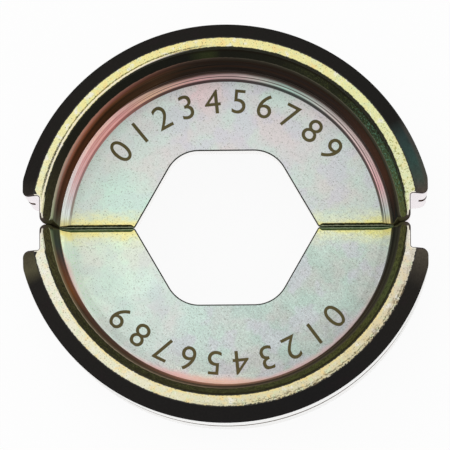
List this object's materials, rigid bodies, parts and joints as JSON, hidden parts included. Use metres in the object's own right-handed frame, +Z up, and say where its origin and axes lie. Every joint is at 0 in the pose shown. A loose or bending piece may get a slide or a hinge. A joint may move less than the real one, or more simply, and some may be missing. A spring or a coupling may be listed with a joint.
{
  "type": "crimping die",
  "caption": "Round crimping die in upper and lower halves with tall rims, recessed thin webs and a six-sided nest between them.",
  "frame": {"origin": "the nest's axis at the height of the lower rim lands, which the die lies on", "axes": "+Z up along the nest's axis, +X along the split between the halves, +Y from the lower half to the upper half"},
  "size_m": [0.048, 0.0474, 0.025],
  "materials": {
    "plated_steel": "zinc plating with a yellow, pink and green iridescent passivation, nearly black on the bevels"
  },
  "bodies": {
    "root": {"upper_die_half": "plated_steel", "lower_die_half": "plated_steel"}
  },
  "joints": []
}
